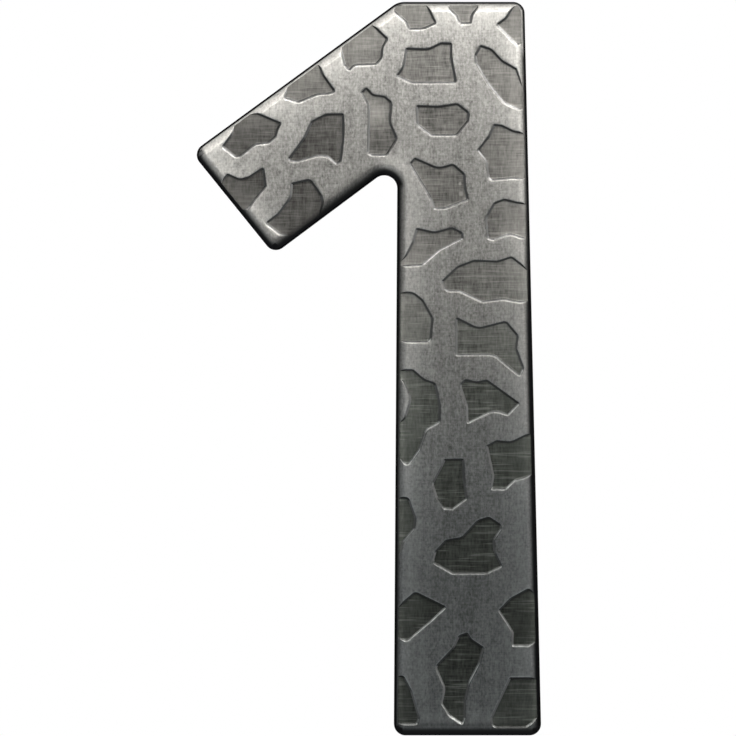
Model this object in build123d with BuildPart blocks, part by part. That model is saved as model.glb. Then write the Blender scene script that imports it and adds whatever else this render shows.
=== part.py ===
"""House number, the numeral 1: one iron plate with rounded front edges and a net of raised
bands left standing between shallow sunken cells. Millimetres. X is right and Z is up as seen
from the front. The flat back lies in the plane Y = 0 and the front faces -Y. The origin is
midway between the two tapped holes in the back, on the centre line of the stem."""

import math
import os

from build123d import *

os.makedirs("parts", exist_ok=True)

# The plate.
height = 152.4
thickness = 5.0
stem_width = 28.4  # at mid height
left_lean = 0.36  # degrees the left side of the stem spreads towards the foot
right_lean = 1.32  # degrees the right side spreads towards the foot

# The flag, measured from the shoulder where it leaves the flat top.
shoulder_offset = 13.8
flag_length = 53.1  # along the upper edge
flag_end = 27.1  # along the cut end
flag_top_slope = 36.16  # degrees
flag_under_slope = 36.68  # degrees
flag_end_skew = 2.75  # degrees the cut end is off square

# Roundings. The corners of the outline turn a little wider than the rounded front edge.
front_round = 2.2
corner_spare = 0.2
shoulder_spare = 1.7
crook_round = 2.7

# The two tapped holes in the back, for studs.
stud_spacing = 101.6
stud_hole_radius = 1.65
stud_hole_floor = 1.8  # metal left between the bottom of a hole and the front face

# The sunken cells: a level floor, sloping walls and rounded corners.
cell_depth = 0.5
wall_slope = 45.0  # degrees off upright
cutter_lift = 0.1  # how far each cutter starts clear of the front face
tight_corner = 0.08  # roundings at the floor
soft_corner = 0.7
wide_corner = 2.2
wall_run = (cell_depth + cutter_lift) * math.tan(math.radians(wall_slope))
T = wall_run + tight_corner
S = wall_run + soft_corner
W = wall_run + wide_corner

# Corners of every cell as x, z and the rounding there. A cell that runs out through the
# rounded edge of the plate has its outer corners past the outline. The cells are drawn on a
# plate of these sizes and stretch with the real one.
DRAWN = dict(height=152.4, stem_width=28.4, shoulder=13.8, flag=53.1, end=27.1, slope=36.16)
FLAG_CELLS = [
    # Along the upper edge.
    [(-20.6, 73.4, T), (-15.6, 68.5, T), (-16.7, 66.5, S), (-17.0, 64.2, S),
     (-18.2, 62.8, S), (-22.6, 62.7, S), (-24.0, 61.4, T), (-25.2, 62.8, S), (-26.7, 69.0, T)],
    [(-30.9, 66.0, T), (-29.1, 61.2, W), (-26.3, 57.3, T), (-28.3, 56.7, S),
     (-30.6, 56.5, W), (-34.5, 54.9, S), (-37.8, 55.9, T), (-36.9, 61.0, T)],
    [(-48.3, 53.3, T), (-42.9, 53.3, S), (-37.6, 51.1, T), (-38.6, 49.3, S),
     (-39.0, 47.8, S), (-40.6, 46.5, S), (-43.4, 46.2, S), (-46.5, 43.7, S),
     (-47.7, 43.6, S), (-50.7, 46.0, T), (-48.5, 49.0, W)],
    # At the cut end and along the under edge.
    [(-49.3, 40.8, T), (-46.6, 39.6, S), (-44.9, 40.1, S), (-41.5, 42.3, T),
     (-40.9, 37.7, T), (-43.3, 34.8, W), (-44.6, 33.0, T), (-48.6, 31.6, T), (-53.0, 36.4, T)],
    [(-32.0, 51.5, S), (-28.9, 53.1, W), (-24.9, 53.2, T), (-24.8, 48.4, W), (-25.4, 42.9, S),
     (-26.6, 42.0, T), (-28.5, 43.7, S), (-30.4, 43.9, W), (-35.0, 42.6, S), (-37.3, 43.0, T),
     (-33.6, 48.1, S)],
    [(-36.2, 38.7, T), (-31.9, 39.7, S), (-29.0, 35.5, W), (-30.0, 29.0, T), (-33.5, 26.8, T),
     (-38.4, 27.5, S), (-41.8, 30.2, T), (-38.9, 32.4, W), (-36.4, 35.8, W)],
    [(-21.8, 57.3, T), (-20.4, 58.8, T), (-18.9, 57.1, S), (-16.5, 56.8, S), (-14.8, 55.4, S),
     (-15.2, 51.4, W), (-13.7, 47.6, S), (-16.0, 43.9, S), (-20.4, 44.0, S), (-20.2, 54.4, W)],
]
STEM_CELLS = [
    # Head.
    [(-8.6, 78.0, T), (-5.5, 71.5, T), (-8.4, 70.2, W), (-11.7, 70.1, T), (-12.5, 71.8, S),
     (-14.9, 73.8, S), (-17.0, 78.0, T)],
    [(5.9, 78.0, T), (1.9, 73.3, S), (1.5, 71.3, T), (-1.2, 71.3, T), (-1.9, 72.9, S),
     (-3.7, 74.6, S), (-4.5, 78.0, T)],
    [(6.1, 71.4, T), (8.3, 73.0, W), (11.4, 78.0, T), (16.0, 78.0, T), (16.0, 66.8, T),
     (10.7, 66.9, S)],
    [(-12.4, 66.8, T), (-7.6, 66.6, W), (-5.0, 67.9, S), (-2.4, 67.8, T), (-2.5, 65.0, W),
     (-1.4, 59.0, T), (-11.0, 59.0, S), (-14.7, 60.5, T), (-13.0, 62.8, W)],
    [(1.8, 65.0, T), (3.1, 67.4, T), (5.7, 66.6, W), (7.9, 64.2, W), (11.0, 62.4, T),
     (13.6, 55.9, T), (16.0, 52.9, T), (11.0, 53.5, W), (7.9, 54.9, S), (4.6, 59.0, W),
     (2.1, 63.3, S)],
    # Upper stem.
    [(-10.3, 54.9, T), (-5.6, 54.7, W), (-1.4, 55.3, S), (1.2, 53.3, S), (1.0, 51.2, S),
     (-1.5, 48.1, S), (-7.1, 48.1, S), (-10.1, 50.4, S)],
    [(5.9, 51.0, T), (7.8, 50.8, S), (10.2, 49.6, W), (16.0, 48.7, T), (16.0, 38.6, T),
     (10.0, 39.2, W), (4.8, 38.7, S), (4.1, 43.0, S), (2.3, 45.3, T), (4.8, 48.5, W)],
    [(-11.7, 42.5, T), (-10.5, 44.1, T), (-5.4, 41.9, W), (-2.3, 42.8, S), (0.3, 40.5, S),
     (0.4, 37.8, W), (1.1, 34.9, T), (-4.1, 32.9, W), (-6.5, 32.9, T), (-7.3, 35.2, W)],
    [(5.9, 34.6, T), (8.2, 35.5, S), (11.0, 34.8, W), (16.0, 34.5, T), (16.0, 25.9, T),
     (12.3, 26.6, W), (9.4, 27.6, S), (5.9, 26.4, S), (4.5, 26.8, T), (4.0, 31.3, W)],
    [(-10.2, 29.5, T), (-6.2, 28.6, W), (-2.6, 29.6, S), (-0.1, 28.4, S), (-0.2, 26.7, T),
     (-5.0, 24.2, W), (-8.5, 21.2, S), (-16.5, 20.7, T), (-12.6, 23.5, W), (-11.0, 26.5, W)],
    [(-5.1, 18.2, T), (-1.7, 21.4, W), (1.9, 22.8, W), (6.8, 22.6, W), (9.8, 23.6, S),
     (16.0, 18.8, T), (16.0, 13.6, T), (11.0, 13.5, W), (8.0, 14.1, W), (3.6, 13.5, S),
     (-1.3, 15.8, W), (-4.1, 15.8, S)],
    # Middle of the stem.
    [(-17.0, 16.2, T), (-10.6, 16.2, W), (-8.4, 14.4, W), (-6.3, 10.6, S), (-6.8, 5.2, S),
     (-17.0, 5.3, T)],
    [(-2.1, 11.2, T), (2.8, 8.7, W), (8.7, 10.2, S), (11.4, 7.0, S), (11.0, 4.4, S),
     (12.6, 0.1, S), (11.5, -2.0, T), (5.8, 2.6, W), (-2.1, 2.5, T)],
    [(-17.0, 0.2, T), (-10.6, 0.1, S), (-8.3, -1.9, W), (-5.8, -2.8, S), (-4.8, -7.4, W),
     (-4.9, -11.4, S), (-7.7, -12.9, S), (-9.1, -17.0, W), (-11.7, -20.6, S), (-17.0, -17.0, T),
     (-17.0, -13.0, T), (-12.7, -10.0, S), (-11.5, -6.2, W), (-13.1, -2.8, S), (-17.0, -1.9, T)],
    [(-1.4, -3.4, S), (0.0, -1.8, S), (2.4, -2.5, W), (4.7, -2.0, S), (11.9, -7.2, T),
     (9.1, -10.0, S), (6.2, -9.0, W), (0.2, -11.9, T), (0.1, -7.8, W)],
    [(4.2, -15.9, T), (6.5, -14.6, S), (9.6, -14.9, W), (17.5, -11.0, T), (17.5, -21.4, T),
     (12.8, -22.9, W), (10.6, -23.5, S), (8.7, -25.3, S), (5.0, -25.3, T), (5.6, -22.3, W)],
    [(-4.4, -18.5, T), (0.0, -18.4, T), (0.2, -23.0, W), (0.8, -27.2, T), (-2.4, -29.5, S),
     (-4.5, -29.3, S), (-6.0, -27.2, W), (-7.1, -23.9, S), (-5.1, -20.1, W)],
    # Lower stem.
    [(-17.5, -25.7, T), (-11.4, -26.5, S), (-9.8, -31.0, W), (-10.2, -33.4, S),
     (-12.3, -35.8, S), (-13.3, -39.8, S), (-17.5, -42.5, T)],
    [(-7.1, -40.3, S), (-6.4, -37.8, S), (-4.1, -35.3, S), (-0.7, -34.7, S), (2.5, -31.2, W),
     (5.1, -30.4, S), (8.4, -32.6, S), (6.4, -35.5, S), (6.5, -37.7, W), (8.2, -41.2, T),
     (4.8, -42.8, S), (-2.6, -42.8, S)],
    [(-10.3, -45.9, S), (-3.2, -49.4, T), (-7.0, -52.9, W), (-11.8, -56.9, S),
     (-17.5, -55.4, T), (-17.5, -52.0, T)],
    [(13.3, -45.2, S), (18.0, -48.2, T), (18.0, -56.0, T), (13.4, -57.8, S), (9.5, -57.8, T),
     (9.6, -54.8, S), (8.1, -52.4, W), (6.6, -50.2, T), (9.3, -47.4, W)],
    [(-1.4, -55.1, S), (0.7, -54.4, T), (1.6, -55.9, S), (4.3, -57.7, T), (3.3, -61.3, W),
     (1.2, -65.3, W), (0.4, -69.0, W), (0.4, -72.4, S), (-0.3, -74.3, T), (-3.4, -72.3, W),
     (-5.2, -69.5, S), (-4.5, -66.3, W), (-6.5, -61.8, S), (-2.7, -57.8, W)],
    # Foot.
    [(-17.5, -62.9, T), (-12.5, -63.4, S), (-10.7, -66.8, W), (-9.1, -72.4, S),
     (-9.7, -74.1, T), (-17.5, -74.1, T)],
    [(9.2, -63.8, T), (18.0, -63.8, T), (18.0, -71.0, T), (12.8, -74.8, S), (5.6, -74.8, S),
     (5.1, -72.6, S), (7.4, -67.6, W)],
]


def toward(start, degrees, distance):
    """The point a distance away from another, at an angle above the horizontal."""
    angle = math.radians(degrees)
    return (start[0] + distance * math.cos(angle), start[1] + distance * math.sin(angle))


def on_stem(x, z):
    """Where a point of the drawn stem lies on the plate."""
    return Vector(x * stem_width / DRAWN["stem_width"], z * height / DRAWN["height"])


def on_flag(x, z):
    """Where a point of the drawn flag lies on the plate, going by the shoulder, the two
    directions of the flag and its length and width."""
    away = Vector(x + DRAWN["shoulder"], z - DRAWN["height"] / 2).rotate(Axis.Z, -DRAWN["slope"])
    fitted = Vector(away.X * flag_length / DRAWN["flag"], away.Y * flag_end / DRAWN["end"])
    return Vector(*shoulder) + fitted.rotate(Axis.Z, flag_top_slope)


def ring(corners, inset):
    """The closed outline of one cell, moved inwards by inset: straight sides joined by arcs
    that keep their centres, each arc kept short enough for the sides beside it."""
    count = len(corners)
    spots = [spot for spot, _ in corners]
    ways = [(spots[(i + 1) % count] - spots[i]).normalized() for i in range(count)]
    spans = [(spots[(i + 1) % count] - spots[i]).length for i in range(count)]
    arcs = []
    for i in range(count):
        before, after = ways[i - 1], ways[i]
        turn = before.X * after.Y - before.Y * after.X
        half = math.atan2(abs(turn), before.dot(after)) / 2
        convex = turn < 0
        radius = min(corners[i][1], 0.47 * min(spans[i - 1], spans[i]) / math.tan(half))
        bend = (after - before).normalized()
        corner = spots[i] + bend * (inset / math.cos(half)) * (1 if convex else -1)
        radius = max(radius - inset, 0.04) if convex else radius + inset
        tangent = radius * math.tan(half)
        middle = corner + bend * (radius / math.cos(half) - radius)
        arcs.append((corner - before * tangent, middle, corner + after * tangent))
    for i in range(count):
        ThreePointArc(*arcs[i])
        Line(arcs[i][2], arcs[(i + 1) % count][0])


# Corners of the plate, clockwise from the shoulder.
shoulder = (-shoulder_offset, height / 2)
top_right = (stem_width / 2 - height / 2 * math.tan(math.radians(right_lean)), height / 2)
foot_right = (stem_width / 2 + height / 2 * math.tan(math.radians(right_lean)), -height / 2)
foot_left = (-stem_width / 2 - height / 2 * math.tan(math.radians(left_lean)), -height / 2)
flag_tip = toward(shoulder, 180 + flag_top_slope, flag_length)
flag_heel = toward(flag_tip, flag_top_slope - 90 + flag_end_skew, flag_end)
rise = math.tan(math.radians(flag_under_slope))
lean = math.tan(math.radians(left_lean))
crook_z = (flag_heel[1] - rise * (stem_width / 2 + flag_heel[0])) / (1 - rise * lean)
crook = (-stem_width / 2 + crook_z * lean, crook_z)

# The front rounding stays inside the plate.
edge_round = min(front_round, 0.45 * thickness)
corner_round = edge_round + corner_spare
shoulder_round = edge_round + shoulder_spare

cells = [[(on_flag(x, z), radius) for x, z, radius in cell] for cell in FLAG_CELLS]
cells += [[(on_stem(x, z), radius) for x, z, radius in cell] for cell in STEM_CELLS]

with BuildPart() as house_number:
    # The plate, standing up, with the front edges rounded all the way round.
    with BuildSketch(Plane.XZ):
        with BuildLine():
            FilletPolyline(
                shoulder, top_right, foot_right, foot_left, crook, flag_heel, flag_tip,
                radius=[shoulder_round, corner_round, corner_round, corner_round, crook_round,
                        corner_round, corner_round],
                close=True,
            )
        make_face()
    extrude(amount=thickness)
    front = house_number.faces().sort_by(Axis.Y)[0]
    fillet(front.edges(), radius=edge_round)

    # The tapped holes in the back.
    with BuildSketch(Plane.XZ):
        with GridLocations(0, stud_spacing, 1, 2):
            Circle(stud_hole_radius)
    extrude(amount=thickness - stud_hole_floor, mode=Mode.SUBTRACT)

    # The cells, each cut by a block that narrows from its mouth to its floor.
    for corners in cells:
        with BuildPart(mode=Mode.SUBTRACT):
            with BuildSketch(Plane.XZ.offset(thickness + cutter_lift)):
                with BuildLine():
                    ring(corners, 0)
                make_face()
            with BuildSketch(Plane.XZ.offset(thickness - cell_depth)):
                with BuildLine():
                    ring(corners, wall_run)
                make_face()
            loft(ruled=True)

house_number.part.label = "house_number"
export_step(house_number.part, "parts/house_number.step")
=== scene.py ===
import math

import bpy
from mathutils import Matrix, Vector


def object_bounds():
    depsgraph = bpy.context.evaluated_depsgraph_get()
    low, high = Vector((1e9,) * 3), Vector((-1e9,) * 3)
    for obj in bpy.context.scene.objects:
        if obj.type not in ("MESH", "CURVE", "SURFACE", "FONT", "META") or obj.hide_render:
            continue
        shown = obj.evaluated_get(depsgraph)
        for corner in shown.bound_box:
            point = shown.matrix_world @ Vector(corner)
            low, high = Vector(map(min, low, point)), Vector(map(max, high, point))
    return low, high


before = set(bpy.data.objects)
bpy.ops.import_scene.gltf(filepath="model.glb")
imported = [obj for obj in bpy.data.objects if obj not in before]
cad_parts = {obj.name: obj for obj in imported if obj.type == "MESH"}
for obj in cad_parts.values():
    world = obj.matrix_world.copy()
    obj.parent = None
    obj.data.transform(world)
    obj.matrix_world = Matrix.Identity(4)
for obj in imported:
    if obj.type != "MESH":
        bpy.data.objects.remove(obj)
cad_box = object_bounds()
scene = bpy.context.scene
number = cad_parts["house_number"]

# The numeral: one plate of iron, its pattern of cells pressed into the front. The raised net is
# brushed bright up and down, the cell floors are brushed across and left dark, and the rims are
# worn a little round. Two studs hold it to the wall from behind.
mm = 1000  # to the metre: the sizes of the plate and of its finish are in millimetres
thickness = mm * (cad_box[1][1] - cad_box[0][1])
foot_z, head_z = mm * cad_box[0][2], mm * cad_box[1][2]
front_round = 2.2
cell_depth = 0.5

iron = bpy.data.materials.new("brushed_iron")
iron.use_nodes = True
nodes = iron.node_tree.nodes
links = iron.node_tree.links
nodes.clear()


def add(kind, inputs=(), **settings):
    """A node with its settings, and its inputs linked or set in order; None leaves one alone."""
    node = nodes.new("ShaderNode" + kind)
    for name, value in settings.items():
        setattr(node, name, value)
    for socket, value in zip(node.inputs, inputs):
        if isinstance(value, bpy.types.NodeSocket):
            links.new(value, socket)
        elif value is not None:
            socket.default_value = value
    return node


def maths(operation, *inputs):
    return add("Math", inputs, operation=operation).outputs[0]


def vector(operation, *inputs):
    return add("VectorMath", inputs, operation=operation).outputs


def least(first, *others):
    for other in others:
        first = maths("MINIMUM", first, other)
    return first


def most(first, *others):
    for other in others:
        first = maths("MAXIMUM", first, other)
    return first


def product(first, *others):
    for other in others:
        first = maths("MULTIPLY", first, other)
    return first


def total(base, *parts):
    """A base, and parts that are each a value and its weight."""
    for value, weight in parts:
        base = maths("MULTIPLY_ADD", value, weight, base)
    return base


def ramp(value, low, high, to_low=0.0, to_high=1.0):
    """A smooth change from one value to another as the input goes from low to high."""
    node = add("MapRange", (value, low, high, to_low, to_high), interpolation_type="SMOOTHSTEP")
    return node.outputs[0]


# Where a point of the plate lies, how deep below the front, and which way it faces.
spot = add("TexCoord").outputs["Object"]
place = add("SeparateXYZ", (spot,)).outputs
x = maths("MULTIPLY", place["X"], mm)
z = maths("MULTIPLY", place["Z"], mm)
depth = maths("MULTIPLY_ADD", place["Y"], mm, thickness)
on_face = add("CombineXYZ", (x, 0.0, z)).outputs[0]
normal = add("NewGeometry").outputs["Normal"]
facing = add("SeparateXYZ", (normal,)).outputs


def inward(start, end):
    """How far in from one side of the outline a point lies."""
    length = math.dist(start, end)
    across, up = (end[1] - start[1]) / length, (start[0] - end[0]) / length
    reach = vector("DOT_PRODUCT", spot, (mm * across, 0, mm * up))["Value"]
    return maths("SUBTRACT", reach, across * start[0] + up * start[1])


def away(point):
    """How far a point lies from one place on the face."""
    return vector("DISTANCE", on_face, (point[0], 0, point[1]))["Value"]


# The corners of the outline, and how far in from its sides a point lies. The rounding in the
# crook counts only between the lines from its centre to its two ends.
tip, shoulder, top_right = (-56.7, 44.9), (-13.8, head_z), (12.4, head_z)
foot_right, foot_left, crook, heel = (15.9, foot_z), (-14.7, foot_z), (-13.9, 42.9), (-39.6, 23.8)
top, right = inward(shoulder, top_right), inward(top_right, foot_right)
foot, left = inward(foot_right, foot_left), inward(foot_left, crook)
upper, cut_end, below = inward(tip, shoulder), inward(heel, tip), inward(crook, heel)
stem = least(top, right, foot, left)
flag = least(top, right, upper, cut_end)
crook_centre = (-16.6, 37.5)
crook_round = 2.7
crook_end = (-17.2, 38.3)  # on the line to the end at the flag
steep = 30  # how sharply the rounding stops counting at the lines
past_ends = least(maths("SUBTRACT", z, crook_centre[1]), inward(crook_centre, crook_end))
from_centre = away(crook_centre)
bay = least(maths("SUBTRACT", from_centre, crook_round), maths("MULTIPLY", past_ends, steep), flag)
inset = most(stem, least(flag, below), bay)

# The floors of the cells are level and their walls slope. The rounding of the front edge slopes
# too, so a wall also has to lie deeper than the rounding does there.
level = ramp(facing["Y"], -0.955, -0.99)
floor = product(ramp(depth, 0.5 * cell_depth, 0.9 * cell_depth), level)
short = most(maths("SUBTRACT", front_round, inset), 0)
rise = maths("SQRT", most(maths("SUBTRACT", front_round ** 2, product(short, short)), 0))
sunk = maths("ADD", maths("SUBTRACT", depth, front_round), rise)
wall = product(ramp(level, 1.0, 0.0), ramp(sunk, 0.05, 0.12), ramp(inset, 0.6, 0.9))

# Painted shade darkens the metal along the undersides, away from the light above. The rounding is
# blackened all round, but held back on its upper side as painted light. The sides of the stem get less
# painted shade than the underside of the flag, so they count as further in.
less_stem_shade = 3.0
turn = maths("DIVIDE", maths("SUBTRACT", x, crook_centre[0]), from_centre)
painted_under_shade = product(bay, ramp(turn, -0.6, 0.8, 1.0, less_stem_shade))
painted_under_shade = most(below, maths("MULTIPLY", stem, less_stem_shade), painted_under_shade)
painted_under_shade = ramp(least(painted_under_shade, foot), 0.7, 3.8, 0.04, 1.0)
upward = total(facing["Z"], (facing["X"], -0.25))
# Painted light: the black of the rounding is held back on its right side, more towards the head, and on
# the floors.
edge_painted_light = product(most(facing["X"], 0), ramp(z, 0, 50, 0.1, 2.0))
edge_painted_light = total(edge_painted_light, (floor, ramp(painted_under_shade, 0.2, 0.6, 0.0, 1.2)))
edge = product(ramp(maths("ADD", inset, edge_painted_light), 2.3, 0.6), ramp(upward, 0.0, 0.25, 1.0, 0.0))
edge = most(edge, ramp(depth, 0.65, 1.0))

# The metal is polished brighter near the sides. It is less so along the underside of the flag, which
# there is painted shade, and the rims of the cells are worn round. Floors get a painted shadow below
# the upper walls, most of all at the foot.
polish_start, polish_reach = 2.8, 3.6
less_polish_and_shade = 3.0
rim_round, pillow_round = 0.15, 0.9
polish = most(stem, least(flag, maths("MULTIPLY", below, less_polish_and_shade)), bay)
polish = maths("POWER", math.exp(-1 / polish_reach), most(polish, polish_start))
worn = add("Bevel", (rim_round / mm,), samples=8).outputs[0]
pillow = add("Bevel", (pillow_round / mm,), samples=8).outputs[0]
rim = ramp(vector("DOT_PRODUCT", worn, normal)["Value"], 0.998, 0.93)
painted_wall_shadow = ramp(add("SeparateXYZ", (pillow,)).outputs["Z"], -0.25, -0.02, -0.45, 0.0)
painted_wall_shadow = total(1.0, (painted_wall_shadow, ramp(z, -30, -5, 1.0, 0.2)))


def noise(per_mm, detail, roughness):
    """Noise with so many features to a millimetre along X, Y and Z, centred on zero."""
    scaled = add("Mapping", (spot, None, None, [mm * n for n in per_mm])).outputs[0]
    node = add("TexNoise", (scaled, None, 1.0, detail, roughness))
    return maths("SUBTRACT", node.outputs[0], 0.5)


# Cloudy patches, fine pits, brushing up and down with long strokes, brushing across with bright
# scratches that show most towards the foot, and grit on the walls.
mottle = noise((0.22, 0.22, 0.16), 3.0, 0.6)
pits = noise((2.5, 2.5, 2.0), 2.0, 0.65)
upright = noise((3.0, 3.0, 0.7), 2.0, 0.55)
strokes = noise((0.75, 0.75, 0.05), 1.0, 0.5)
across = noise((0.28, 3.2, 3.2), 2.0, 0.55)
scratch = ramp(noise((0.14, 3.0, 3.0), 1.0, 0.4), 0.08, 0.22)
scratch = product(scratch, ramp(z, -25, 10, 1.0, 0.35))
grit = noise((1.1, 1.1, 1.1), 2.0, 0.6)


def tinted(colour, tone):
    return vector("MULTIPLY", colour, tone)[0]


def blend(share, first, second):
    node = add("Mix", data_type="RGBA")
    links.new(share, node.inputs["Factor"])
    for value, socket in ((first, node.inputs[6]), (second, node.inputs[7])):
        if isinstance(value, bpy.types.NodeSocket):
            links.new(value, socket)
        else:
            socket.default_value = value
    return node.outputs[2]


# The raised net, cool at the foot and warm at the head, a tint painted to follow the warm key above and
# the cool light below.
# It is painted darker along the undersides and at the rims of the cells, painted shade. Along the upper
# rounding it is painted darker where it first turns up and lighter further round, painted shade and
# highlight. It is brighter at the head than lower down, partly uneven polish and partly painted light.
# It is painted brighter at the flag's end and by the left side of the stem in the middle, which is
# painted light.
net_foot, net_head = (0.309, 0.317, 0.317, 1.0), (0.322, 0.317, 0.306, 1.0)
crown = total(upward, (maths("ABSOLUTE", facing["X"]), -1.5))
middle = ramp(maths("ABSOLUTE", maths("ADD", z, 8)), 20, 35, 1.0, 0.0)
net_tone_and_painted_light = total(
    0.88, (polish, 1.2), (mottle, 0.35), (upright, 1.0), (pits, 1.3), (strokes, 0.5), (across, 0.55),
)
net_tone_and_painted_light = product(
    net_tone_and_painted_light,
    painted_under_shade,
    ramp(rim, 0, 1, 1.0, 0.5),
    ramp(upward, 0.04, 0.2, 1.0, 0.62),
    ramp(upward, 0.35, 0.6, 1.0, 1.2),
    ramp(crown, 0.04, 0.2, 1.0, 0.62),
    ramp(z, 46, 60, 1.0, 1.1),
    ramp(z, 26, 36, 1.04, 0.95),
    ramp(z, -18, 2, 0.9, 1.0),
    ramp(z, -36, -20, 0.9, 1.0),
    ramp(z, -60, -44, 1.12, 1.0),
    ramp(x, -52, -18, 1.25, 1.0),
    ramp(x, -54, -44, 1.15, 1.0),
    total(1.0, (middle, ramp(x, -13, -5, 0.18, 0.0))),
)
net = tinted(blend(ramp(z, -40, 20), net_foot, net_head), net_tone_and_painted_light)

# The cell floors, darker out along the flag, and darker towards the foot, partly patina and partly
# painted shade where less light falls. They get painted shade along the undersides and at the foot of
# their walls. One cell of the flag has a cloudy bright patch, one below the crook has two small bright
# spots, and the middle of the flag is dull.
floor_foot, floor_head = (0.155, 0.165, 0.150, 1.0), (0.169, 0.165, 0.157, 1.0)
right_side = maths("ADD", ramp(z, -10, 25, -0.15, 0.15), ramp(z, 44, 56, 0.0, -0.25))
floor_tone_and_painted_shade = total(
    0.83, (polish, 1.2), (mottle, 0.5), (across, 1.1), (upright, 1.1), (scratch, 0.9), (strokes, 0.5),
    (rim, -0.3),
)
floor_tone_and_painted_shade = product(
    floor_tone_and_painted_shade,
    painted_wall_shadow,
    ramp(painted_under_shade, 0.3, 1.0, 0.6, 1.0),
    ramp(z, 66, 74, 1.0, 0.75),
    ramp(z, 46, 60, 0.95, 1.12),
    ramp(z, 20, 36, 1.0, 0.8),
    ramp(z, -6, 14, 0.7, 1.0),
    ramp(z, -28, -8, 0.78, 1.0),
    ramp(z, -46, -34, 0.87, 1.0),
    ramp(z, -64, -52, 1.15, 1.0),
    ramp(x, -32, -6, 0.68, 1.0),
    ramp(x, -52, -36, 0.75, 1.0),
    total(1.0, (right_side, ramp(x, 4, 10))),
    total(1.0, (ramp(x, -12, 10, -0.2, 0.3), ramp(z, -70, -58, 1.0, 0.0))),
)
floor_tone_and_painted_shade = total(
    floor_tone_and_painted_shade,
    (ramp(away((-18.8, 53.0)), 0.8, 4.5, 1.0, 0.0), 0.7),
    (ramp(away((-0.95, 38.4)), 0.1, 0.5, 1.0, 0.0), 0.8),
    (ramp(away((-0.75, 36.3)), 0.2, 0.7, 1.0, 0.0), 0.8),
    (ramp(away((-38.0, 43.0)), 5.0, 10.0, 1.0, 0.0), -0.1),
)
floors = tinted(blend(ramp(z, -20, 30), floor_foot, floor_head), floor_tone_and_painted_shade)

# The walls of the cells: lighter at their upper rims than lower down, a patina. They are painted bright
# where they face up and dark where they face down, a painted highlight and painted shade from the lamps
# above and to the right. How bright a lit one is painted depends on the way that it slants and on where
# it lies, and walls that face right are painted lighter.
lip_foot, lip_head = (0.965, 1.0, 0.985, 1.0), (1.0, 1.0, 1.0, 1.0)
rightward = ramp(facing["X"], 0.0, 0.45)
head = product(ramp(x, -5, 5), ramp(z, 28, 40))
lip_and_painted_highlight = total(depth, (product(rightward, head), -0.12))
lip_and_painted_highlight = product(
    ramp(lip_and_painted_highlight, 0.3 * cell_depth, 0.8 * cell_depth, 0.13, 0.045),
    total(1.0, (grit, 1.6)),
    ramp(painted_under_shade, 0.04, 0.5, 0.04, 1.0),
    ramp(z, 0, 45, 1.0, 1.5),
    ramp(z, -32, -22, 1.0, 1.28),
    ramp(z, -50, -42, 1.4, 0.78),
    total(1.0, (rightward, maths("ADD", head, 0.5))),
    total(1.0, (ramp(facing["X"], 0.1, 0.4, -0.1, 1.3), ramp(z, -56, -40, 1.0, 0.0))),
    total(1.0, (ramp(facing["X"], -0.65, -0.1, 6.0, 0.0), ramp(z, 26, 40, 1.0, 0.0))),
)
lip_and_painted_highlight = tinted(blend(ramp(z, -20, 30), lip_foot, lip_head), lip_and_painted_highlight)
darkest_painted_shade = product(ramp(z, 28, 40, 1.0, 0.85), ramp(z, -8, 4, 0.045, 0.065), ramp(z, -30, -10, 0.7, 1.0))
shade = ramp(facing["Z"], -0.45, -0.1, darkest_painted_shade, 0.22)
shade = product(shade, ramp(facing["X"], 0.2, 0.6, 1.0, 1.8), painted_under_shade)
walls = blend(ramp(facing["Z"], 0.1, 0.4), shade, lip_and_painted_highlight)

# The rounding is blackened, a patina, but the black is held back on its upper side, on its right side
# towards the head and on the cell floors away from the undersides, which is painted light. The sides
# and the back are bare dark iron.
blackened = (0.016, 0.016, 0.017, 1.0)
back_iron = (0.055, 0.055, 0.056)
colour = blend(wall, blend(floor, net, floors), walls)
colour = blend(edge, colour, blackened)
colour = blend(ramp(depth, 2.4, 3.0), colour, tinted(back_iron, total(1.0, (mottle, 1.2))))

# The grain runs up and down on the net and across on the floors.
grain = total(upright, (floor, maths("SUBTRACT", across, upright)))
rough = total(ramp(most(floor, wall), 0, 1, 0.40, 0.48), (grain, 0.12))
rough = maths("ADD", rough, ramp(inset, 0.8, 2.4, 0.2, 0.0))
pillow_share = 0.2
soft = vector("MULTIPLY", worn, [1 - pillow_share] * 3)[0]
soft = vector("MULTIPLY_ADD", pillow, [pillow_share] * 3, soft)[0]
soft = vector("NORMALIZE", soft)[0]
relief_strength, relief_height = 0.15, 0.04
relief = total(grain, (pits, 0.5))
relief = add("Bump", (relief_strength, relief_height / mm, None, relief, soft)).outputs[0]

shader = add("BsdfPrincipled")
links.new(colour, shader.inputs["Base Color"])
links.new(rough, shader.inputs["Roughness"])
links.new(relief, shader.inputs["Normal"])
shader.inputs["Metallic"].default_value = 1.0
shader.inputs["Specular Tint"].default_value = (0.3, 0.3, 0.3, 1.0)
add("OutputMaterial", (shader.outputs[0],))
number.data.materials.clear()
number.data.materials.append(iron)

# The stage: a pale floor well below the numeral, which hangs as it would on a wall, and a plain
# white surround that the camera sees and that the metal mirrors from behind.
floor_radius, floor_drop, floor_glow = 2.5, 0.9, 0.8
bpy.ops.mesh.primitive_circle_add(
    vertices=96, radius=floor_radius, fill_type="NGON", location=(0, 0, -floor_drop)
)
ground = bpy.context.object
ground.name = "floor"
pale = bpy.data.materials.new("pale_floor")
pale.use_nodes = True
ground.data.materials.append(pale)
nodes = pale.node_tree.nodes
links = pale.node_tree.links


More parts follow.
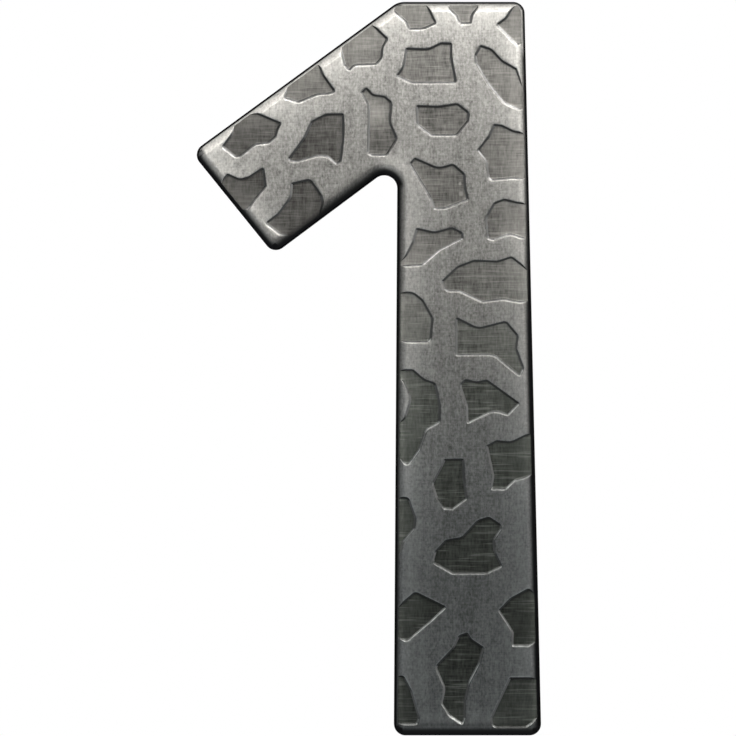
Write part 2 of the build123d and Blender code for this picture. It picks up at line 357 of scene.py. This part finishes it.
def seen(mirrored):
    """1 for what the camera sees, and a share of that for what it sees mirrored or through glass."""
    rays = add("LightPath").outputs
    reflected = maths("ADD", rays["Is Glossy Ray"], rays["Is Transmission Ray"])
    return most(product(reflected, mirrored), rays["Is Camera Ray"])


shader = nodes["Principled BSDF"]
shader.inputs["Base Color"].default_value = (0.8, 0.8, 0.8, 1.0)
shader.inputs["Roughness"].default_value = 0.8
shader.inputs["Emission Color"].default_value = (0.95, 0.985, 1.0, 1.0)
links.new(product(seen(1.0), floor_glow), shader.inputs["Emission Strength"])

world = bpy.data.worlds.new("studio")
scene.world = world
world.use_nodes = True
nodes = world.node_tree.nodes
links = world.node_tree.links
nodes.clear()
dim, white = (0.030, 0.038, 0.041, 1.0), (1.0, 1.0, 1.0, 1.0)
way = add("SeparateXYZ", (add("TexCoord").outputs["Generated"],)).outputs
surround = blend(seen(ramp(way["Y"], 0.0, 0.5)), dim, white)
add("OutputWorld", (add("Background", (surround, 1.0)).outputs[0],))

# The lamps: a soft key above and in front, two small ones that graze the top and the flag, and a
# broad one at each side. The camera sees none of them.
warm, plain, cool = (1.0, 0.98, 0.94), (1.0, 0.99, 0.97), (0.92, 0.98, 1.0)


def lamp(name, place, target, size, spread, power, colour):
    """A soft rectangular lamp that points at a target."""
    data = bpy.data.lights.new(name, "AREA")
    data.shape = "RECTANGLE"
    data.size, data.size_y = size
    data.spread = math.radians(spread)
    data.energy = power
    data.color = colour
    piece = bpy.data.objects.new(name, data)
    piece.location = place
    piece.visible_camera = False
    piece.rotation_euler = (Vector(target) - Vector(place)).to_track_quat("-Z", "Y").to_euler()
    scene.collection.objects.link(piece)


lamp("key", (0.03, -0.16, 0.215), (-0.02, 0.0, 0.09), (0.30, 0.20), 90, 0.64, warm)
lamp("top", (0.0, -0.04, 0.15), (-0.01, 0.0, 0.06), (0.20, 0.06), 180, 0.024, plain)
lamp("flag", (-0.085, -0.012, 0.128), (-0.035, 0.0, 0.06), (0.08, 0.04), 180, 0.012, plain)
lamp("left", (-0.9, -0.75, 0.1), (0.0, 0.0, 0.0), (1.0, 1.2), 180, 0.55, cool)
lamp("right", (0.9, -0.6, 0.3), (0.0, 0.0, 0.0), (1.0, 1.2), 180, 1.0, plain)

# The camera looks straight at the front through a long lens, and the numeral fills the picture
# from top to bottom as in the photo.
lens, sensor = 300.0, 36.0
view_width = 0.15292
aim_x, aim_y, aim_z = -0.02005, -0.0028, 0.000135
camera = bpy.data.objects.new("camera", bpy.data.cameras.new("camera"))
camera.data.lens = lens
camera.data.sensor_width = sensor
camera.data.clip_end = 50.0
camera.location = (aim_x, aim_y - view_width * lens / sensor, aim_z)
camera.rotation_euler = (math.radians(90), 0, 0)
scene.collection.objects.link(camera)
scene.camera = camera
scene.view_settings.view_transform = "Standard"
